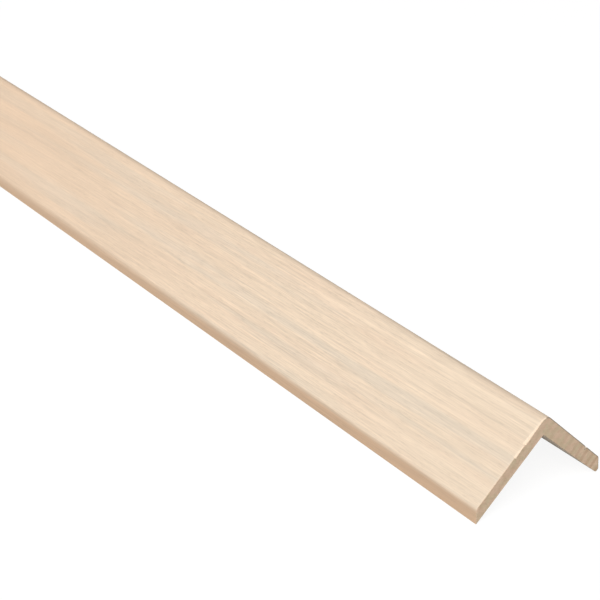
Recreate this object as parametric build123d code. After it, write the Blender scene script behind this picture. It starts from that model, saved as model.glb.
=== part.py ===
"""Corner cover strip: one length of straight-grained wood with an L-shaped section.

It lies ridge up on the tips of its two legs, as it does on a level floor. X runs across the strip,
Y along it and Z up, with the origin under the middle of its length and width.
"""
from build123d import *
from math import atan2, cos, degrees, radians, sin
import os

os.makedirs("parts", exist_ok=True)

# Stock sizes, mm. A leg's width is its outer face, from the virtual ridge to the end of the leg
length = 1000.0
left_leg_width = 30.0
right_leg_width = 30.8
outer_angle = 89.6          # between the outer faces, degrees
left_corner_wall = 3.7      # walls at the inner corner
right_corner_wall = 4.1
left_tip_wall = 3.35        # walls at the ends of the legs, as if their tips weren't bevelled
right_tip_wall = 3.35

# Ridge and inner corner, mm
ridge_radius = 2.0
inner_radius = 0.5

# Tips, mm: the left one is bevelled almost to its inner face, the right one keeps a square edge
bevel_setback = 3.0         # how far a bevel reaches back along the outer face
bevel_arris_radius = 1.0    # soft turn from the outer face into the bevel
left_tip_edge = 0.2         # edge left between the bevel and the inner face
right_tip_edge = 1.1
tip_edge_radius = 0.5       # rounding of that edge, where it is wide enough to take it

# The section is drawn with its virtual ridge at the origin and its left leg's outer face along +X
left_way = Vector(1, 0)
left_inward = Vector(0, 1)
right_way = left_way.rotate(Axis.Z, outer_angle)
right_inward = right_way.rotate(Axis.Z, -90)


def tip_corners(way, inward, width, tip_wall, tip_edge):
    """Corners round the tip of a leg, from its outer face to its inner one, with their radii."""
    edge_radius = min(tip_edge_radius, 0.45 * tip_edge)
    return [
        (way * (width - bevel_setback), bevel_arris_radius),
        (way * width + inward * (tip_wall - tip_edge), edge_radius),
        (way * width + inward * tip_wall, edge_radius),
    ]


def inner_corner():
    """Point that lies each leg's corner wall away from that leg's outer face."""
    opening = radians(outer_angle)
    along = (right_corner_wall + left_corner_wall * cos(opening)) / sin(opening)
    return left_way * along + left_inward * left_corner_wall


left_tip = tip_corners(left_way, left_inward, left_leg_width, left_tip_wall, left_tip_edge)
right_tip = tip_corners(right_way, right_inward, right_leg_width, right_tip_wall, right_tip_edge)


def section():
    """L-shaped outline, with each corner rounded by its own radius."""
    corners = [
        (Vector(0, 0), ridge_radius),
        *left_tip,
        (inner_corner(), inner_radius),
        *reversed(right_tip),
    ]
    points = [point for point, radius in corners]
    radii = [radius for point, radius in corners]
    return make_face(FilletPolyline(*points, radius=radii, close=True))


def ridge_up():
    """Turn that brings the ridge to the top and the inner edges of both tips to the same level."""
    feet = right_tip[-1][0] - left_tip[-1][0]
    return -degrees(atan2(feet.Y, feet.X))


def strip():
    """Full length of stock, resting on its tips, with the middle of its box over the origin."""
    profile = Plane.XZ * Rotation(0, 0, ridge_up()) * section()
    bar = extrude(profile, length / 2, both=True)
    box = bar.bounding_box()
    return bar.moved(Location((-box.center().X, 0, -box.min.Z)))


corner_strip = strip()
corner_strip.label = "corner_strip"
export_step(corner_strip, "parts/corner_strip.step")
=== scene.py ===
"""Corner cover strip: a sawn length of L-shaped wooden stock, lying ridge up on a pale floor."""
import math
import random

import bpy
from mathutils import Matrix, Vector, noise
from mathutils.geometry import delaunay_2d_cdt


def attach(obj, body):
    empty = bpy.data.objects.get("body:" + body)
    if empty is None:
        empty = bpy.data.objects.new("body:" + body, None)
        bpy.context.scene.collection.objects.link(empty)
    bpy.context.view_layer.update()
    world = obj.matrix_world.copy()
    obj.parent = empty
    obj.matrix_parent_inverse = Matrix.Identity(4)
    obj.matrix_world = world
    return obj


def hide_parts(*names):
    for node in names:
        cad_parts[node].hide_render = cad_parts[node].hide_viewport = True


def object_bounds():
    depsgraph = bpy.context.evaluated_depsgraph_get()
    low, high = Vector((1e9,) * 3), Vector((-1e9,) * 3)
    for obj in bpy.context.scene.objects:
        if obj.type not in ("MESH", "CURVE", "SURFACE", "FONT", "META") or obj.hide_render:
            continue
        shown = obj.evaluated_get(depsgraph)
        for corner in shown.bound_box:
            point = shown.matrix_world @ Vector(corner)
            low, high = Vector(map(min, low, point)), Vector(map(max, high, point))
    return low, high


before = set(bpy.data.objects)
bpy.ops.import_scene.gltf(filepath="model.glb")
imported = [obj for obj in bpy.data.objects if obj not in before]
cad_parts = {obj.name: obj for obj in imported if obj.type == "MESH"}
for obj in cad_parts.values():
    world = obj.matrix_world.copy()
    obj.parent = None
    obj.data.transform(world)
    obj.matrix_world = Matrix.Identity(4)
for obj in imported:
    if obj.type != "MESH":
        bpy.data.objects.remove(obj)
CAD_LOW, CAD_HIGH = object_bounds()

bl_info = {
    "name": "Corner Cover Strip",
    "version": (1, 0, 0),
    "blender": (4, 5, 0),
    "location": "View3D > Sidebar > Cover Strip",
    "description": "Builds a sawn length of wooden corner strip with its grain, chips and torn fibres",
    "category": "Add Mesh",
}

MM = 0.001


def paint(code):
    """Linear colour of a hexadecimal sRGB code, as a shader socket takes it."""
    channels = [((code >> shift) & 255) / 255 for shift in (16, 8, 0)]
    return tuple(c / 12.92 if c <= 0.04045 else ((c + 0.055) / 1.055) ** 2.4 for c in channels)


def length_setting(name, description, default):
    """A length that the sidebar shows and edits."""
    return bpy.props.FloatProperty(
        name=name, description=description, default=default, min=0.0, unit="LENGTH", precision=5
    )


def angle_setting(name, description, degrees):
    """An angle that the sidebar shows and edits."""
    return bpy.props.FloatProperty(
        name=name, description=description, default=math.radians(degrees), unit="ROTATION"
    )


def colour_setting(name, description, code):
    """A colour that the sidebar shows and edits."""
    return bpy.props.FloatVectorProperty(
        name=name, description=description, default=paint(code), min=0.0, max=1.0, subtype="COLOR"
    )


class StripSizes(bpy.types.PropertyGroup):
    """Section of the stock."""

    left_leg: length_setting("Left leg", "Outer face, from the virtual ridge to the end", 30 * MM)
    right_leg: length_setting("Right leg", "Outer face, from the virtual ridge to the end", 30.8 * MM)
    outer_angle: angle_setting("Outer angle", "Angle between the outer faces", 89.6)
    left_corner: length_setting("Left corner wall", "Left leg's wall at the inner corner", 3.7 * MM)
    right_corner: length_setting("Right corner wall", "Right leg's wall at the inner corner", 4.1 * MM)
    left_tip: length_setting("Left tip wall", "Left leg's wall at its end, before the bevel", 3.35 * MM)
    right_tip: length_setting("Right tip wall", "Right leg's wall at its end, before the bevel", 3.35 * MM)
    ridge_radius: length_setting("Ridge radius", "Rounding along the ridge", 2.0 * MM)
    inner_radius: length_setting("Inner radius", "Rounding in the inner corner", 0.5 * MM)
    bevel_setback: length_setting("Bevel setback", "Reach of a tip's bevel along the outer face", 3.0 * MM)
    bevel_arris: length_setting("Bevel arris", "Turn from the outer face into the bevel", 1.0 * MM)
    left_edge: length_setting("Left tip edge", "Edge between bevel and inner face, left", 0.2 * MM)
    right_edge: length_setting("Right tip edge", "Edge between bevel and inner face, right", 1.1 * MM)
    edge_radius: length_setting("Edge radius", "Rounding of a tip's edge", 0.5 * MM)
    sanding: length_setting("Sanding", "Wood that sanding has taken off the section", 0.01 * MM)


class SawnEnds(bpy.types.PropertyGroup):
    """What the saw left at the two ends."""

    allowance: length_setting("Allowance", "Room kept for fibres in front of a cut", 0.2 * MM)
    left_lean: angle_setting("Left lean", "How far the near cut leans back along the left leg", 2.82)
    right_lean: angle_setting("Right lean", "How far the near cut leans back along the right leg", 0.74)
    usual_wear: length_setting("Usual wear", "Usual wear of the sawn arris", 0.08 * MM)
    right_wear: length_setting("Right wear", "Wear along the right leg's outer face", 0.22 * MM)
    torn_depth: length_setting("Torn depth", "Depth of the torn arris near the ridge", 0.35 * MM)
    first_step: length_setting("First step", "Left leg: ridge to the first flake's end", 8.7 * MM)
    second_step: length_setting("Second step", "Left leg: ridge to the second flake's end", 12.4 * MM)
    right_notch: length_setting("Right notch", "Right leg: ridge to the notch", 20.9 * MM)
    notch_width: length_setting("Notch width", "Half width of a notch", 0.5 * MM)
    notch_depth: length_setting("Notch depth", "Depth of a notch", 0.65 * MM)
    kerf_depth: length_setting("Kerf depth", "Depth of the saw's marks", 0.03 * MM)
    kerf_pitch: length_setting("Kerf pitch", "Distance between the saw's marks", 1.1 * MM)
    fibre_count: bpy.props.IntProperty(
        name="Fibres", description="Torn fibres on the near end's arris", default=110, min=1
    )


class WoodColours(bpy.types.PropertyGroup):
    """Colours of the wood."""

    pale: colour_setting("Pale", "Planed wood at the near end", 0xF1DCC3)
    warm: colour_setting("Warm", "Planed wood where it is warmest", 0xF3D4B6)
    grey: colour_setting("Grey", "Greyish bands", 0xE2D4C1)
    pink: colour_setting("Pink", "Pinkish patches", 0xF1D6BC)
    # Painted shade: a darker colour for the inner faces, which face down towards the floor.
    inside: colour_setting("Inside", "Inner faces, darker than the outer ones", 0xC9B8A2)
    bevel: colour_setting("Bevel", "Cut surface of the tips", 0xD6B697)
    end_pale: colour_setting("End, pale", "End grain between the rings", 0xDFC2A7)
    end_tan: colour_setting("End, tan", "End grain in its tan patches", 0xD2BF9F)
    end_ring: colour_setting("End, ring", "End grain in the rings", 0xC4A384)
    # Painted shade: the worn facets are real, but their dark colour stands for shade along the sawn end.
    arris: colour_setting("Arris", "Worn sawn arris", 0x9A8D7E)
    fibre: colour_setting("Fibre", "Torn wood", 0xFFE9CF)


class Studio(bpy.types.PropertyGroup):
    """Camera and light."""

    aim_right: length_setting("Aim right", "Aim point, right of the strip's middle", 13.055 * MM)
    aim_in: length_setting("Aim in", "Aim point, in from the near end", 111.614 * MM)
    distance: length_setting("Distance", "Camera to aim point", 499.33 * MM)
    azimuth: angle_setting("Azimuth", "Viewing direction, from along the strip towards its right", 37.689)
    elevation: angle_setting("Elevation", "How far the camera looks down", 28.549)
    roll: angle_setting("Roll", "Turn of the camera about its own axis", 1.097)
    lens: bpy.props.FloatProperty(name="Lens", description="Focal length, mm", default=105.5)
    key_power: bpy.props.FloatProperty(name="Key power", description="Key light, watts", default=44.5)
    key_distance: length_setting("Key distance", "Key light to aim point", 2.4)
    key_size: length_setting("Key size", "Width of the key light", 1.5)
    ambient: bpy.props.FloatProperty(name="Ambient", description="Light from all round", default=0.26)


# Section and mesh
EDGE_SHARE = 0.45               # a tip edge's rounding takes up to this share of the edge
OUTLINE_SPACING = 0.2 * MM
ARC_STEP = math.radians(7.5)
FIRST_STATION = 0.9 * MM        # first full section behind a sawn end
STATION_GROWTH = 1.4
WIDEST_STATION = 20 * MM
SQUARE_BY = 30 * MM             # the sections are square to the length from here on
SMOOTH_UP_TO = math.radians(35)
# Materials: planed wood, sawn end, worn arris coloured dark as painted shade, torn wood.
PLANED, END, WORN_SHADED, TORN = range(4)

# Fine skin over a sawn end
CAP_SPACING = 0.3 * MM
CAP_MARGIN = 0.6 * CAP_SPACING  # between the outline and the points inside it
CAP_JITTER = 0.3                # either way, in spacings
CAP_SEED = 7
TRIANGLES_INSIDE = 1            # the triangulation leaves out what lies outside the outline
MERGE_DISTANCE = 1e-9

# Saw's marks on a sawn end
KERF_LEFT = 0.86                # direction across the marks, as its parts along the left leg
KERF_RIGHT = 0.5                # and along the right one
KERF_WOBBLE = 0.5               # in pitches
WOBBLE_SIZE = 4 * MM
GRIT_SIZE = 0.5 * MM

# Arris of a sawn end
ARRIS_BANDS = 2                 # steps between the cut and the faces
ARRIS_REACH = 1.3               # reach along the strip, for each unit of wear into the section
RIGHT_ARRIS_REACH = 0.4         # the same along the right leg's outer face
MIDDLE_IN = 0.4                 # middle row of the arris, in shares of its reach into the section
MIDDLE_BACK = 0.3               # and along the strip: below half of each, the arris is round
RAGGED_SIZE = 0.35 * MM
WORN_RAGGED = 0.3               # unevenness, as a share of the wear
TORN_RAGGED = 0.35
TIP_WEAR = 0.04 * MM            # most wear at the left tip's thin edge
TIP_WEAR_GROWTH = 0.1           # what is added to that, for each unit of distance from the edge
OUTER_HALF = 0.5                # flakes stay in this outer share of the left leg's corner wall
RIGHT_OUTSIDE = 0.85            # the right leg's outside ends at this share of the same wall
NOTCH_END = 1.2                 # a notch fades out at this many half widths from its middle
FLAKE_RISE = 0.6 * MM           # a flake starts over this length
FLAKE_DROP = 0.2 * MM           # and ends over this one
FLAKE_FIRST = 0.5               # share of its depth at its start
FLAKE_LAST = 1.3                # and at its end
TORN_FROM = 0.2                 # the arris is torn wood where it is more torn than this

# Torn fibres
FIBRE_SEED = 11
FIBRE_STEPS = 4
FIBRES_START = 1.2 * MM         # from the ridge
FIBRE_ROOT = (0.25, 0.9)        # place on the arris, from 0 at the face to 1 at the cut
FIBRE_REACH = (0.15 * MM, 0.5 * MM)
FIBRE_RADIUS = (0.015 * MM, 0.04 * MM)
FIBRE_DRIFT = 0.25              # along the left leg, for each unit of reach
FIBRE_CURL = 0.1                # across it
FIBRE_TAPER = 0.85
FIBRE_BURIED = 0.1 * MM         # length of the root inside the wood
FIBRE_CLEAR = 0.02 * MM         # room between a fibre and the stock's end

# Wood
RING_PITCH = 2.6 * MM
RING_TILT = 0.2                 # how far a ring leans out of the left leg's plane
RING_WANDER = 1.6               # in pitches
GRAIN_LEAN = 0.019              # the grain drifts this much towards the left tip, for each unit of length
GLOSS = 0.3                     # specular level of bare wood

# Stage
FLOOR_REACH = 12.0
FLOOR_GREY = 0.8                # how the strip sees the floor
SHADOW_GREY = 0.15              # how much of the light on the floor the camera sees
FLOOR_GLOW = 0.9                # what is added to it, up to white
WHITE = (1, 1, 1, 1)
KEY_WAY = Vector((-0.53, -0.42, 0.73)).normalized()     # from the aim point towards the lamp
SENSOR_WIDTH = 36               # mm
CLIP_START = 0.01


def smooth(value):
    """Smooth step from 0 to 1."""
    value = min(max(value, 0.0), 1.0)
    return value * value * (3 - 2 * value)


def inward(outline, index):
    """Direction into the wood at a point of a closed outline."""
    along = outline[(index + 1) % len(outline)] - outline[index - 1]
    return Vector((-along.y, along.x)).normalized()


class Leg:
    """One leg of the section, measured along its outer face and below it. It stands on its foot."""

    def __init__(self, sizes, way, inward_way, width, tip_wall, tip_edge):
        self.sizes = sizes
        self.way = way
        self.inward_way = inward_way
        self.width = width
        self.tip_wall = tip_wall
        self.tip_edge = tip_edge
        self.foot = self.point(width, tip_wall)

    def point(self, along, depth=0.0):
        """Point at a distance from the virtual ridge, and at a depth below the outer face."""
        return self.way * along + self.inward_way * depth

    def tip_corners(self):
        """Corners round the tip, from the outer face to the foot, with their radii."""
        radius = min(self.sizes.edge_radius, EDGE_SHARE * self.tip_edge)
        return [
            (self.point(self.width - self.sizes.bevel_setback), self.sizes.bevel_arris),
            (self.point(self.width, self.tip_wall - self.tip_edge), radius),
            (self.foot, radius),
        ]

    def bevel_normal(self):
        """Direction out of the tip's bevel."""
        run = self.point(self.sizes.bevel_setback, self.tip_wall - self.tip_edge)
        return (self.way * run.dot(self.inward_way) - self.inward_way * run.dot(self.way)).normalized()


class Section:
    """The L-shaped section, drawn with its virtual ridge at the origin and the left leg along +X."""

    def __init__(self, sizes):
        self.sizes = sizes
        angle = sizes.outer_angle
        left_way = Vector((1, 0))
        left_inward = Vector((0, 1))
        right_way = Vector((math.cos(angle), math.sin(angle)))
        right_inward = Vector((math.sin(angle), -math.cos(angle)))
        self.left = Leg(sizes, left_way, left_inward, sizes.left_leg, sizes.left_tip, sizes.left_edge)
        self.right = Leg(sizes, right_way, right_inward, sizes.right_leg, sizes.right_tip, sizes.right_edge)
        feet = self.right.foot - self.left.foot
        turn = -math.atan2(feet.y, feet.x)
        self.x_way = Vector((math.cos(turn), 0, math.sin(turn)))
        self.y_way = Vector((-math.sin(turn), 0, math.cos(turn)))
        stock = self.rounded_outline()
        self.ridge = self.resting_place(stock)
        self.outline = [point + inward(stock, index) * sizes.sanding for index, point in enumerate(stock)]

    def resting_place(self, stock):
        """Place of the virtual ridge where the stock lies on the floor, in the middle of the CAD box."""
        places = [self.direction(point) for point in stock]
        across = [place.x for place in places]
        lowest = min(place.z for place in places)
        middle = (CAD_LOW.x + CAD_HIGH.x) / 2
        return Vector((middle - (min(across) + max(across)) / 2, 0, CAD_LOW.z - lowest))

    def inner_corner(self):
        """Point that lies each leg's corner wall away from that leg's outer face."""
        sizes = self.sizes
        angle = sizes.outer_angle
        along = (sizes.right_corner + sizes.left_corner * math.cos(angle)) / math.sin(angle)
        return self.left.point(along, sizes.left_corner)

    def corners(self):
        """All the corners in order, counter-clockwise from the ridge."""
        ridge = (Vector((0, 0)), self.sizes.ridge_radius)
        inner = (self.inner_corner(), self.sizes.inner_radius)
        return [ridge, *self.left.tip_corners(), inner, *reversed(self.right.tip_corners())]

    def rounded_outline(self):
        """Closed outline with every corner rounded and every straight run divided."""
        corners = self.corners()
        arcs = []
        for index, (point, radius) in enumerate(corners):
            back = (corners[index - 1][0] - point).normalized()
            ahead = (corners[(index + 1) % len(corners)][0] - point).normalized()
            arcs.append(self.arc(point, radius, back, ahead))
        outline = []
        for index, arc in enumerate(arcs):
            outline.extend(arc)
            run = arcs[(index + 1) % len(arcs)][0] - arc[-1]
            pieces = max(1, round(run.length / OUTLINE_SPACING))
            outline.extend(arc[-1] + run * step / pieces for step in range(1, pieces))
        return outline

    @staticmethod
    def arc(point, radius, back, ahead):
        """Points of the rounding of one corner."""
        half = math.acos(max(-1.0, min(1.0, back.dot(ahead)))) / 2
        centre = point + (back + ahead).normalized() * (radius / math.sin(half))
        start = point + back * (radius / math.tan(half)) - centre
        end = point + ahead * (radius / math.tan(half)) - centre
        sweep = start.angle_signed(end)
        steps = max(2, round(abs(sweep) / ARC_STEP))
        return [centre + Matrix.Rotation(-sweep * step / steps, 2) @ start for step in range(steps + 1)]

    def direction(self, way):
        """A direction of the section, as one of the frame."""
        return self.x_way * way.x + self.y_way * way.y

    def place(self, point, along):
        """A section point at a place along the strip, as a point of the frame."""
        return self.ridge + self.direction(point) + Vector((0, along, 0))


class Flake:
    """A flake torn off the left outer arris, between two distances from the ridge."""

    def __init__(self, start, end, share):
        self.start = start
        self.end = end
        self.share = share

    def torn_at(self, distance):
        """How torn the arris is: the flake deepens along its length and ends in a step."""
        shape = smooth((distance - self.start) / FLAKE_RISE) * smooth((self.end - distance) / FLAKE_DROP)
        passed = (distance - self.start) / (self.end - self.start)
        return self.share * shape * (FLAKE_FIRST + (FLAKE_LAST - FLAKE_FIRST) * passed)


class SawnEnd:
    """One sawn end: where its cut runs and how worn its arris is."""

    def __init__(self, section, ends, face, into, slopes, notches, flakes):
        self.section = section
        self.ends = ends
        self.face = face
        self.into = into
        self.left_slope, self.right_slope = slopes
        self.notches = notches
        self.flakes = flakes

    def depth_at(self, point):
        """How far a section point of the cut lies behind the stock's end."""
        return self.ends.allowance + self.left_slope * point.x + self.right_slope * point.y

    def torn_at(self, point):
        """How torn the wood is at a point of the outline: flakes tear the left outer arris only."""
        if point.y > OUTER_HALF * self.section.sizes.left_corner:
            return 0.0
        return max(0.0, *(flake.torn_at(point.x) for flake in self.flakes))

    def is_right_outside(self, point):
        """Whether a point lies on the right leg, outside its inner face."""
        return point.y > point.x and point.x < RIGHT_OUTSIDE * self.section.sizes.left_corner

    def wear_at(self, point):
        """Wear of the arris at a point of the outline, less where the left tip is too thin for it."""
        ragged = noise.noise(Vector((point.x, point.y, self.face)) / RAGGED_SIZE)
        worn = self.ends.right_wear if self.is_right_outside(point) else self.ends.usual_wear
        torn = self.ends.torn_depth * self.torn_at(point)
        spare = TIP_WEAR + TIP_WEAR_GROWTH * (point - self.section.left.foot).length
        return min(max(worn * (1 + WORN_RAGGED * ragged), torn * (1 + TORN_RAGGED * ragged)), spare)

    def notch_at(self, point):
        """Depth of a notch through the arris."""
        reach = min((point - notch).length for notch in self.notches) / self.ends.notch_width
        return self.ends.notch_depth * smooth(NOTCH_END - reach)

    def rows(self):
        """Three rows of points: the cut's own edge, the worn arris, and the start of the faces."""
        cap, arris, side = [], [], []
        outline = self.section.outline
        for index, point in enumerate(outline):
            wear = self.wear_at(point)
            back = wear * (RIGHT_ARRIS_REACH if self.is_right_outside(point) else ARRIS_REACH)
            way = inward(outline, index)
            outer = point + way * self.notch_at(point)
            cap.append(self.behind_cut(outer + way * wear, 0))
            arris.append(self.behind_cut(outer + way * (MIDDLE_IN * wear), MIDDLE_BACK * back))
            side.append(self.behind_cut(outer, back))
        return [cap, arris, side]

    def behind_cut(self, point, distance):
        """A section point with its place along the strip, a distance behind the cut."""
        return point, self.face + self.into * (self.depth_at(point) + distance)

    def arris_materials(self):
        """Material of each step of the arris."""
        materials = []
        for point in self.section.outline:
            torn = TORN if self.torn_at(point) > TORN_FROM else END
            # The right leg's outer arris is worn, and its dark material there is painted shade.
            materials.append(WORN_SHADED if self.is_right_outside(point) else torn)
        return materials

    def station(self, distance):
        """A row of points at a distance behind the cut, which turns square further in."""
        squared = smooth(distance / SQUARE_BY)
        row = []
        for point in self.section.outline:
            slant = self.depth_at(point) - self.ends.allowance
            depth = self.ends.allowance + slant * (1 - squared) + distance
            row.append((point, self.face + self.into * depth))
        return row

    def relief_at(self, point):
        """Depth of the saw's marks and of its grit at a point of the cut."""
        across = KERF_LEFT * point.x + KERF_RIGHT * point.y
        wobble = noise.noise(Vector((point.x, point.y, self.face)) / WOBBLE_SIZE)
        mark = 0.5 + 0.5 * math.sin(math.tau * (across / self.ends.kerf_pitch + KERF_WOBBLE * wobble))
        grit = 0.5 + 0.5 * noise.noise(Vector((point.x, point.y, 0)) / GRIT_SIZE)
        return self.ends.kerf_depth * (mark + grit)


def near_end(section, ends):
    """The end in view: cut at a slant, with one notch and two flakes."""
    return SawnEnd(
        section,
        ends,
        face=CAD_LOW.y,
        into=1,
        slopes=(math.tan(ends.left_lean), math.tan(ends.right_lean)),
        notches=[section.right.point(ends.right_notch)],
        flakes=[
            Flake(start=0.1 * MM, end=ends.first_step, share=1.0),
            Flake(start=ends.first_step, end=ends.second_step, share=0.8),
        ],
    )


def far_end(section, ends):
    """The end out of view: cut almost square, with two notches and one flake."""
    return SawnEnd(
        section,
        ends,
        face=CAD_HIGH.y,
        into=-1,
        slopes=(0.01, 0.015),
        notches=[section.right.point(6 * MM), section.left.point(15 * MM)],
        flakes=[Flake(start=18 * MM, end=21 * MM, share=0.6)],
    )


def station_distances(half_length):
    """Distances of the sections behind an end, close together at the end and wide apart inside."""
    distances = []
    distance = FIRST_STATION
    while distance < half_length:
        distances.append(distance)
        distance += min(distance * (STATION_GROWTH - 1), WIDEST_STATION)
    return distances


class MeshDraft:
    """Points and faces of a mesh being put together."""

    def __init__(self):
        self.points = []
        self.faces = []
        self.materials = []

    def add_row(self, places):
        """Adds a row of points and returns their numbers."""
        first = len(self.points)
        self.points.extend(places)
        return list(range(first, len(self.points)))

    def join_rows(self, row, other, materials):
        """Quads between two closed rows, with a material for each."""
        for index, material in enumerate(materials):
            after = (index + 1) % len(row)
            self.add_face((row[index], row[after], other[after], other[index]), material)

    def add_face(self, corners, material):
        """Adds one face."""
        self.faces.append(corners)
        self.materials.append(material)

    def finished(self, name, materials):
        """Makes the object."""
        mesh = bpy.data.meshes.new(name)
        mesh.from_pydata(self.points, [], self.faces)
        for material in materials:
            mesh.materials.append(material)
        mesh.polygons.foreach_set("material_index", self.materials)
        mesh.polygons.foreach_set("use_smooth", [True] * len(self.faces))
        mesh.validate()
        mesh.update()
        mesh.set_sharp_from_angle(angle=SMOOTH_UP_TO)
        piece = bpy.data.objects.new(name, mesh)
        bpy.context.collection.objects.link(piece)
        return piece


def is_inside(point, edges):
    """Whether a point lies inside an outline, by counting the edges to its right."""
    crossings = 0
    for start, end in edges:
        if (start.y > point.y) != (end.y > point.y):
            at = start.x + (point.y - start.y) / (end.y - start.y) * (end.x - start.x)
            crossings += at > point.x
    return crossings % 2 == 1


def clearance(point, outline):
    """Distance from a point to the nearest point of an outline."""
    return min((point - other).length for other in outline)


def inner_grid(outline):
    """Jittered points inside a closed outline, clear of its edge."""
    draw = random.Random(CAP_SEED)
    low = Vector((min(p.x for p in outline), min(p.y for p in outline)))
    high = Vector((max(p.x for p in outline), max(p.y for p in outline)))
    edges = [(outline[index - 1], outline[index]) for index in range(len(outline))]
    points = []
    for column in range(int((high.x - low.x) / CAP_SPACING)):
        for row in range(int((high.y - low.y) / CAP_SPACING)):
            across = column + 0.5 + draw.uniform(-CAP_JITTER, CAP_JITTER)
            up = row + 0.5 + draw.uniform(-CAP_JITTER, CAP_JITTER)
            point = low + Vector((across, up)) * CAP_SPACING
            if is_inside(point, edges) and clearance(point, outline) > CAP_MARGIN:
                points.append(point)
    return points


def close_end(draft, section, end, cap, numbers):
    """Fills a sawn end with a fine skin that carries the saw's marks."""
    outline = [point for point, _ in cap]
    loop = [(index, (index + 1) % len(outline)) for index in range(len(outline))]
    filled = delaunay_2d_cdt(outline + inner_grid(outline), loop, [], TRIANGLES_INSIDE, MERGE_DISTANCE)
    points, _, faces, sources = filled[:4]
    number_of = []
    for point, source in zip(points, sources):
        rim = [index for index in source if index < len(outline)]
        if rim:
            number_of.append(numbers[rim[0]])
        else:
            place = section.place(*end.behind_cut(point, end.relief_at(point)))
            number_of += draft.add_row([place])
    for face in faces:
        corners = [number_of[index] for index in face]
        draft.add_face(corners if end.into > 0 else corners[::-1], END)


def build_strip(sizes, ends, materials):
    """The whole strip as one closed mesh."""
    section = Section(sizes)
    near = near_end(section, ends)
    far = far_end(section, ends)
    distances = station_distances((CAD_HIGH.y - CAD_LOW.y) / 2)
    near_rows = near.rows() + [near.station(distance) for distance in distances]
    far_rows = far.rows() + [far.station(distance) for distance in distances]
    rows = near_rows + far_rows[::-1]
    planed = [[PLANED] * len(section.outline)] * (len(rows) - 1 - 2 * ARRIS_BANDS)
    bands = [near.arris_materials()] * ARRIS_BANDS + planed + [far.arris_materials()] * ARRIS_BANDS
    draft = MeshDraft()
    numbers = [draft.add_row([section.place(point, along) for point, along in row]) for row in rows]
    for row, other, band in zip(numbers, numbers[1:], bands):
        draft.join_rows(other, row, band)
    close_end(draft, section, near, near_rows[0], numbers[0])
    close_end(draft, section, far, far_rows[0], numbers[-1])
    return draft.finished("planed_strip", materials)


def fibre_path(section, end, draw, distance):
    """Path of one torn fibre, which leaves the torn arris along the grain."""
    wear = end.wear_at(section.left.point(distance))
    share = draw.uniform(*FIBRE_ROOT)
    root = section.left.point(distance, wear * share)
    behind = ARRIS_REACH * wear * (1 - share) + FIBRE_BURIED
    reach = draw.uniform(*FIBRE_REACH)
    drift = draw.uniform(-FIBRE_DRIFT, FIBRE_DRIFT)
    curl = draw.uniform(-FIBRE_CURL, FIBRE_CURL)
    path = []
    for step in range(FIBRE_STEPS + 1):
        way = step / FIBRE_STEPS
        point = root + Vector((drift, curl)) * (way * way * reach)
        depth = end.depth_at(point) + behind - (reach + FIBRE_BURIED) * way
        path.append(section.place(point, end.face + end.into * max(depth, FIBRE_CLEAR)))
    return path


def add_fibre(draft, path, radius):
    """Adds one closed, tapered sliver along a path, from its radius at the root."""
    last = len(path) - 1
    rows = []
    for index, place in enumerate(path):
        along = (path[min(index + 1, last)] - path[max(index - 1, 0)]).normalized()
        side = along.cross(Vector((0, 0, 1))).normalized()
        up = side.cross(along)
        turns = (0, math.tau / 3, math.tau * 2 / 3)
        ring = [side * math.cos(turn) + up * math.sin(turn) for turn in turns]
        here = radius * (1 - FIBRE_TAPER * index / last)
        rows.append(draft.add_row([place + way * here for way in ring]))
    for row, other in zip(rows, rows[1:]):
        draft.join_rows(other, row, [0, 0, 0])
    draft.add_face(tuple(rows[0]), 0)
    draft.add_face(tuple(rows[-1][::-1]), 0)


def build_fibres(sizes, ends, material):
    """The torn fibres along the near end's arris on the left leg."""
    draw = random.Random(FIBRE_SEED)
    section = Section(sizes)
    end = near_end(section, ends)
    draft = MeshDraft()
    for _ in range(ends.fibre_count):
        distance = FIBRES_START + draw.random() * (ends.second_step - FIBRES_START)
        path = fibre_path(section, end, draw, distance)
        add_fibre(draft, path, draw.uniform(*FIBRE_RADIUS))
    return draft.finished("torn_fibres", [material])


class Number:
    """A shader value that plain arithmetic extends with Math nodes."""

    def __init__(self, nodes, socket):
        self.nodes = nodes
        self.socket = socket

    def math(self, operation, first, second):
        """Result of a Math node."""
        return self.nodes.number("ShaderNodeMath", {"operation": operation}, {0: first, 1: second})

    def __add__(self, other):
        return self.math("ADD", self, other)

    def __radd__(self, other):
        return self.math("ADD", other, self)

    def __sub__(self, other):
        return self.math("SUBTRACT", self, other)

    def __rsub__(self, other):
        return self.math("SUBTRACT", other, self)

    def __mul__(self, other):
        return self.math("MULTIPLY", self, other)

    def __rmul__(self, other):
        return self.math("MULTIPLY", other, self)

    def __truediv__(self, other):
        return self.math("DIVIDE", self, other)

    def most(self, other):
        """The larger of two values."""
        return self.math("MAXIMUM", self, other)

    def wave(self):
        """Sine of the value in turns, brought between 0 and 1."""
        return self.math("SINE", self * math.tau, 0) * 0.5 + 0.5

    def step(self, low, high):
        """Smooth step from 0 at low to 1 at high."""
        return self.nodes.number(
            "ShaderNodeMapRange",
            {"interpolation_type": "SMOOTHSTEP"},
            {"Value": self, "From Min": low, "From Max": high},
        )


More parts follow.
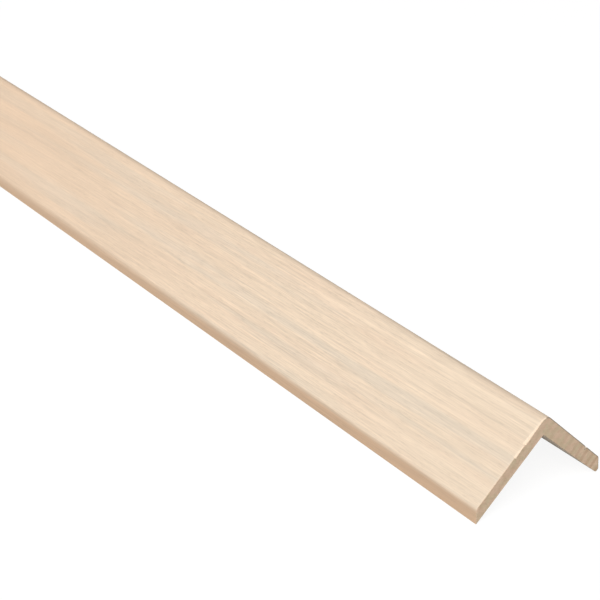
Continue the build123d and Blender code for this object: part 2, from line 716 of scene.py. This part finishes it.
class Nodes:
    """A node tree and the few ways its nodes are made."""

    def __init__(self, tree):
        self.tree = tree
        tree.nodes.clear()

    def node(self, kind, settings=None, inputs=None):
        """Adds a node, with its settings first and then its sockets' values or links."""
        node = self.tree.nodes.new(kind)
        for name, value in (settings or {}).items():
            setattr(node, name, value)
        for name, value in (inputs or {}).items():
            value = value.socket if isinstance(value, Number) else value
            if isinstance(value, bpy.types.NodeSocket):
                self.tree.links.new(value, node.inputs[name])
            else:
                node.inputs[name].default_value = value
        return node

    def number(self, kind, settings=None, inputs=None, output=0):
        """Adds a node and returns one of its outputs as a number."""
        return Number(self, self.node(kind, settings, inputs).outputs[output])

    def colour(self, value):
        """A colour as a socket, or as four values."""
        return value if isinstance(value, bpy.types.NodeSocket) else (*value, 1)

    def mix(self, factor, first, second):
        """Mix of two colours."""
        inputs = {"Factor": factor, 6: self.colour(first), 7: self.colour(second)}
        return self.node("ShaderNodeMix", {"data_type": "RGBA"}, inputs).outputs[2]

    def scale(self, colour, factor):
        """A colour made lighter or darker by a factor."""
        inputs = {0: colour, "Scale": factor}
        return self.node("ShaderNodeVectorMath", {"operation": "SCALE"}, inputs).outputs[0]

    def seen_plainly(self):
        """1 for rays from the camera and for those that mirrors and glass pass on."""
        path = self.node("ShaderNodeLightPath").outputs
        camera = Number(self, path["Is Camera Ray"])
        return camera.most(path["Is Glossy Ray"]).most(path["Is Transmission Ray"])


class WoodNodes(Nodes):
    """Nodes of one wood material, with the places in the wood that every grain pattern shares."""

    def __init__(self, name, section):
        self.material = bpy.data.materials.new(name)
        self.material.use_nodes = True
        super().__init__(self.material.node_tree)
        places = self.node("ShaderNodeTexCoord").outputs
        self.normal = places["Normal"]
        ridge = section.place(Vector((0, 0)), CAD_LOW.y)
        self.along = self.dot(places["Object"], Vector((0, 1, 0))) - ridge.y
        self.left = self.dot(places["Object"], section.x_way) - ridge.dot(section.x_way)
        self.right = self.dot(places["Object"], section.y_way) - ridge.dot(section.y_way)
        self.drifted = self.left - self.along * GRAIN_LEAN

    def dot(self, vector, way):
        """Part of a vector that lies in a direction."""
        inputs = {0: vector, 1: way}
        return self.number("ShaderNodeVectorMath", {"operation": "DOT_PRODUCT"}, inputs, "Value")

    def point(self, width, length, shift=0.0):
        """Texture place whose unit is one width across the grain and one length along it."""
        inputs = {0: self.drifted / width + shift, 1: self.right / width, 2: self.along / length}
        return self.node("ShaderNodeCombineXYZ", {}, inputs).outputs[0]

    def noise(self, width, length, detail=2.0, shift=0.0):
        """Noise whose spots are a width across and a length along."""
        inputs = {"Vector": self.point(width, length, shift), "Scale": 1.0, "Detail": detail}
        return self.number("ShaderNodeTexNoise", {}, inputs)

    def specks(self, width, length, size):
        """Scattered specks, 1 inside and 0 outside."""
        inputs = {"Vector": self.point(width, length), "Scale": 1.0}
        return 1 - self.number("ShaderNodeTexVoronoi", {}, inputs, "Distance").step(0.5 * size, size)

    def rings(self):
        """Growth rings, from 0 to 1."""
        wander = self.noise(width=9 * MM, length=160 * MM, detail=1.0, shift=3.0)
        return ((self.right - self.drifted * RING_TILT) / RING_PITCH + wander * RING_WANDER).wave()

    def finish(self, colour, roughness, height, depth):
        """Makes the surface: colour, roughness and a bump of the given depth."""
        bump = self.node("ShaderNodeBump", {}, {"Height": height, "Distance": depth})
        inputs = {
            "Base Color": colour,
            "Roughness": roughness,
            "Normal": bump.outputs[0],
            "Specular IOR Level": GLOSS,
        }
        surface = self.node("ShaderNodeBsdfPrincipled", {}, inputs)
        self.node("ShaderNodeOutputMaterial", {}, {"Surface": surface.outputs[0]})
        return self.material


def bevel_mask(wood, section, leg, distance):
    """1 on a leg's bevel, softer along its arris further in."""
    start = leg.width - leg.sizes.bevel_setback
    facing = wood.dot(wood.normal, section.direction(leg.bevel_normal())).step(0.74, 0.94)
    softness = 1.0 * MM + wood.along * 0.006
    return facing * distance.step(start - 0.3 * MM, start + softness)


def painted_ridge_shade(wood, section):
    """Painted shade: 1 on the ridge's far side, turned from the key light, which shows as a thin darker
    line.
    """
    turned = wood.dot(wood.normal, section.direction(-section.right.inward_way))
    past = turned.step(0.97, 1.0).most(wood.right.step(2 * MM, 3 * MM))
    return turned.step(0.6, 0.85) * (1 - past)


def grain_strength(wood):
    """How strongly the grain shows: a little less next to the near cut, and much less far from it."""
    by_the_cut = 0.34 * (1 - wood.along.step(10 * MM, 80 * MM))
    far_from_it = 0.64 * wood.along.step(60 * MM, 260 * MM)
    return 1 - by_the_cut - far_from_it


def planed_colour(wood, colours, strength, bevel):
    """Warm stretches, pinkish patches, greyish bands, the bevels, and painted shade on the inner faces."""
    warmth = (wood.along / (700 * MM) - 0.25).wave()
    patch = wood.noise(width=5.0 * MM, length=60 * MM, shift=28.6).step(0.42, 0.66)
    band = wood.noise(width=4.4 * MM, length=110 * MM, shift=19.5).step(0.44, 0.66)
    greyness = 0.48 - 0.24 * wood.along.step(140 * MM, 240 * MM)
    darkness = 1 - 0.14 * wood.along.step(60 * MM, 300 * MM)
    # Painted shade: faces turned down towards the floor take the darker inside colour.
    inside = wood.dot(wood.normal, Vector((0, 0, -1))).step(0.4, 0.6)
    colour = wood.mix(warmth, colours.pale, colours.warm)
    colour = wood.mix(0.5 * patch * strength, colour, colours.pink)
    colour = wood.mix(band * greyness, colour, colours.grey)
    colour = wood.mix(bevel * darkness, colour, colours.bevel)
    return wood.mix(inside, colour, colours.inside)


def planed_wood(section, colours):
    """Planed wood: dark and light grain lines and short pores, calmer on the bevels."""
    wood = WoodNodes("planed_wood", section)
    strength = grain_strength(wood)
    left_bevel = bevel_mask(wood, section, section.left, wood.left)
    bevel = left_bevel.most(bevel_mask(wood, section, section.right, wood.right))
    fine = wood.noise(width=0.3 * MM, length=8 * MM, detail=3.0)
    lines = wood.noise(width=0.8 * MM, length=45 * MM, shift=5.0)
    streak = wood.noise(width=1.9 * MM, length=60 * MM, detail=1.0, shift=7.0)
    dark = wood.noise(width=0.4 * MM, length=22 * MM, detail=1.0, shift=23.0).step(0.62, 0.76)
    bright = wood.noise(width=0.35 * MM, length=9 * MM, detail=1.0, shift=31.0).step(0.62, 0.76)
    pores = wood.specks(width=0.45 * MM, length=3.0 * MM, size=0.34)
    grain = 0.483 * (fine - 0.5) + 0.391 * (lines - 0.5) - 0.069 * dark + 0.092 * bright - 0.069 * pores
    broad = (0.24 - 0.11 * strength) * (streak - 0.5) - 0.02 * wood.rings()
    # The ridge term is painted shade: a thin darker line where the ridge turns from the light.
    shade = 1 + (grain * strength + broad) * (1 - 0.4 * bevel) - 0.06 * painted_ridge_shade(wood, section)
    colour = wood.scale(planed_colour(wood, colours, strength, bevel), shade)
    height = 0.6 * fine + 0.4 * lines - 0.6 * pores
    return wood.finish(colour, roughness=0.6 + 0.15 * fine, height=height, depth=0.03 * MM)


def scratches(wood):
    """Fine scratches of the saw, along its marks."""
    across = wood.left * KERF_LEFT + wood.right * KERF_RIGHT
    place = {0: across / (0.45 * MM), 1: wood.right / (9 * MM)}
    vector = wood.node("ShaderNodeCombineXYZ", {}, place).outputs[0]
    return wood.number("ShaderNodeTexNoise", {}, {"Vector": vector, "Scale": 1.0, "Detail": 3.0})


def end_grain(section, colours):
    """Sawn end: growth rings that show more towards the right tip, tan patches, pores and scratches."""
    wood = WoodNodes("sawn_end_grain", section)
    patch = wood.noise(width=2.4 * MM, length=30 * MM, shift=13.0).step(0.4, 0.62)
    cloud = wood.noise(width=1.4 * MM, length=30 * MM, detail=3.0).step(0.45, 0.7)
    grit = wood.noise(width=0.18 * MM, length=1.0 * MM, detail=3.0, shift=5.0)
    pores = wood.specks(width=0.42 * MM, length=30 * MM, size=0.34)
    scratch = scratches(wood)
    rings = wood.rings().step(0.35, 0.95)
    shown = 0.15 + 0.55 * wood.right.step(7 * MM, section.right.width)
    colour = wood.mix(0.8 * patch, colours.end_pale, colours.end_tan)
    colour = wood.mix(rings * shown, colour, colours.end_ring)
    colour = wood.mix(0.35 * cloud, colour, colours.end_ring)
    colour = wood.mix(0.15 * scratch.step(0.5, 0.7), colour, colours.pale)
    colour = wood.mix(0.25 * pores, colour, colours.end_ring)
    height = 0.5 * grit + 0.7 * scratch - 0.6 * pores
    return wood.finish(colour, roughness=0.75 + 0.1 * grit, height=height, depth=0.05 * MM)


def worn_and_shaded_arris(section, colours):
    """Worn arris of a sawn end, uneven, and darker than either side of it as painted shade."""
    wood = WoodNodes("worn_and_shaded_arris", section)
    cloud = wood.noise(width=0.7 * MM, length=3.0 * MM, detail=3.0)
    colour = wood.mix(0.5 * cloud.step(0.42, 0.66), colours.arris, colours.end_ring)
    return wood.finish(colour, roughness=0.75 + 0.1 * cloud, height=cloud, depth=0.03 * MM)


def torn_wood(section, colours):
    """Torn wood: brighter than the planed faces, with fine lines along the fibres."""
    wood = WoodNodes("torn_wood", section)
    fine = wood.noise(width=0.12 * MM, length=2.0 * MM)
    colour = wood.mix(0.6 * fine.step(0.4, 0.7), colours.fibre, colours.pink)
    return wood.finish(colour, roughness=0.7 + 0.1 * fine, height=fine, depth=0.02 * MM)


class COVERSTRIP_OT_strip(bpy.types.Operator):
    """Build the strip, with its sawn ends"""

    bl_idname = "cover_strip.build_strip"
    bl_label = "Build Strip"

    def execute(self, context):
        chosen = context.scene.cover_strip
        section = Section(chosen.sizes)
        makers = (planed_wood, end_grain, worn_and_shaded_arris, torn_wood)
        materials = [maker(section, chosen.colours) for maker in makers]
        piece = build_strip(chosen.sizes, chosen.ends, materials)
        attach(piece, "root")
        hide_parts("corner_strip")
        return {"FINISHED"}


class COVERSTRIP_OT_fibres(bpy.types.Operator):
    """Build the torn fibres on the near end's arris"""

    bl_idname = "cover_strip.build_fibres"
    bl_label = "Build Torn Fibres"

    def execute(self, context):
        chosen = context.scene.cover_strip
        material = torn_wood(Section(chosen.sizes), chosen.colours)
        piece = build_fibres(chosen.sizes, chosen.ends, material)
        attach(piece, "root")
        return {"FINISHED"}


def grey(level):
    """A grey, as a shader socket takes it."""
    return (level, level, level, 1)


def floor_material():
    """Pale floor that the camera sees white, with the strip's soft shadow."""
    material = bpy.data.materials.new("studio_floor")
    material.use_nodes = True
    nodes = Nodes(material.node_tree)
    plain = nodes.node("ShaderNodeBsdfDiffuse", {}, {"Color": grey(FLOOR_GREY)}).outputs[0]
    shade = nodes.node("ShaderNodeBsdfDiffuse", {}, {"Color": grey(SHADOW_GREY)}).outputs[0]
    glow = nodes.node("ShaderNodeEmission", {}, {"Strength": FLOOR_GLOW}).outputs[0]
    white = nodes.node("ShaderNodeAddShader", {}, {0: shade, 1: glow}).outputs[0]
    both = nodes.node("ShaderNodeMixShader", {}, {0: nodes.seen_plainly(), 1: plain, 2: white}).outputs[0]
    nodes.node("ShaderNodeOutputMaterial", {}, {"Surface": both})
    return material


def build_floor():
    """Floor under the strip, far wider than any view."""
    mesh = bpy.data.meshes.new("studio_floor")
    ways = ((-1, -1), (1, -1), (1, 1), (-1, 1))
    corners = [(across * FLOOR_REACH, along * FLOOR_REACH, CAD_LOW.z) for across, along in ways]
    mesh.from_pydata(corners, [], [(0, 1, 2, 3)])
    mesh.materials.append(floor_material())
    floor = bpy.data.objects.new("studio_floor", mesh)
    bpy.context.collection.objects.link(floor)


def build_world(studio):
    """Even light from all round, which the camera sees as white."""
    world = bpy.data.worlds.new("studio")
    world.use_nodes = True
    bpy.context.scene.world = world
    nodes = Nodes(world.node_tree)
    light = nodes.node("ShaderNodeBackground", {}, {"Color": WHITE, "Strength": studio.ambient})
    white = nodes.node("ShaderNodeBackground", {}, {"Color": WHITE})
    inputs = {0: nodes.seen_plainly(), 1: light.outputs[0], 2: white.outputs[0]}
    both = nodes.node("ShaderNodeMixShader", {}, inputs).outputs[0]
    nodes.node("ShaderNodeOutputWorld", {}, {"Surface": both})


def build_key_light(studio, target):
    """Large soft lamp, above and to the left of the near end."""
    lamp = bpy.data.lights.new("key_light", "AREA")
    lamp.shape = "DISK"
    lamp.size = studio.key_size
    lamp.energy = studio.key_power
    holder = bpy.data.objects.new("key_light", lamp)
    holder.location = target + KEY_WAY * studio.key_distance
    holder.rotation_euler = KEY_WAY.to_track_quat("Z", "Y").to_euler()
    bpy.context.collection.objects.link(holder)


def build_camera(studio, target):
    """Camera at the photograph's viewing angle."""
    data = bpy.data.cameras.new("camera")
    data.sensor_width = SENSOR_WIDTH
    data.lens = studio.lens
    data.clip_start = CLIP_START
    ahead = Vector((
        math.sin(studio.azimuth) * math.cos(studio.elevation),
        math.cos(studio.azimuth) * math.cos(studio.elevation),
        -math.sin(studio.elevation),
    ))
    level = Vector((math.cos(studio.azimuth), -math.sin(studio.azimuth), 0))
    right = level * math.cos(studio.roll) + level.cross(ahead) * math.sin(studio.roll)
    turn = Matrix((right, right.cross(ahead), -ahead)).transposed()
    camera = bpy.data.objects.new("camera", data)
    camera.matrix_world = Matrix.Translation(target - ahead * studio.distance) @ turn.to_4x4()
    bpy.context.collection.objects.link(camera)
    bpy.context.scene.camera = camera


class COVERSTRIP_OT_stage(bpy.types.Operator):
    """Build the floor, the light and the camera"""

    bl_idname = "cover_strip.build_stage"
    bl_label = "Build Stage"

    def execute(self, context):
        studio = context.scene.cover_strip.studio
        target = Vector((studio.aim_right, CAD_LOW.y + studio.aim_in, CAD_LOW.z))
        build_floor()
        build_world(studio)
        build_key_light(studio, target)
        build_camera(studio, target)
        context.scene.view_settings.view_transform = "Standard"
        return {"FINISHED"}


class CoverStripSettings(bpy.types.PropertyGroup):
    """All the settings of the strip and its stage."""

    sizes: bpy.props.PointerProperty(type=StripSizes, name="Sizes", description="Section of the stock")
    ends: bpy.props.PointerProperty(type=SawnEnds, name="Ends", description="What the saw left")
    colours: bpy.props.PointerProperty(type=WoodColours, name="Colours", description="Colours of the wood")
    studio: bpy.props.PointerProperty(type=Studio, name="Studio", description="Camera and light")


class COVERSTRIP_PT_sidebar(bpy.types.Panel):
    """Lists the settings and the steps"""

    bl_idname = "COVERSTRIP_PT_sidebar"
    bl_label = "Corner Cover Strip"
    bl_space_type = "VIEW_3D"
    bl_region_type = "UI"
    bl_category = "Cover Strip"

    def draw(self, context):
        chosen = context.scene.cover_strip
        for operator, group in (
            (COVERSTRIP_OT_strip, chosen.sizes),
            (COVERSTRIP_OT_fibres, chosen.ends),
            (COVERSTRIP_OT_stage, chosen.studio),
        ):
            box = self.layout.box()
            for name in group.__annotations__:
                box.prop(group, name)
            box.operator(operator.bl_idname)
        for name in chosen.colours.__annotations__:
            self.layout.prop(chosen.colours, name)


CLASSES = (
    StripSizes,
    SawnEnds,
    WoodColours,
    Studio,
    CoverStripSettings,
    COVERSTRIP_OT_strip,
    COVERSTRIP_OT_fibres,
    COVERSTRIP_OT_stage,
    COVERSTRIP_PT_sidebar,
)


def register():
    """Registers the classes and hangs the settings on the scene."""
    for item in CLASSES:
        bpy.utils.register_class(item)
    bpy.types.Scene.cover_strip = bpy.props.PointerProperty(type=CoverStripSettings)


def unregister():
    """Takes the settings and the classes away again."""
    del bpy.types.Scene.cover_strip
    for item in reversed(CLASSES):
        bpy.utils.unregister_class(item)


def main():
    """Builds everything."""
    register()
    bpy.ops.cover_strip.build_strip()
    bpy.ops.cover_strip.build_fibres()
    bpy.ops.cover_strip.build_stage()
    bpy.context.view_layer.update()


if __name__ == "__main__":
    main()
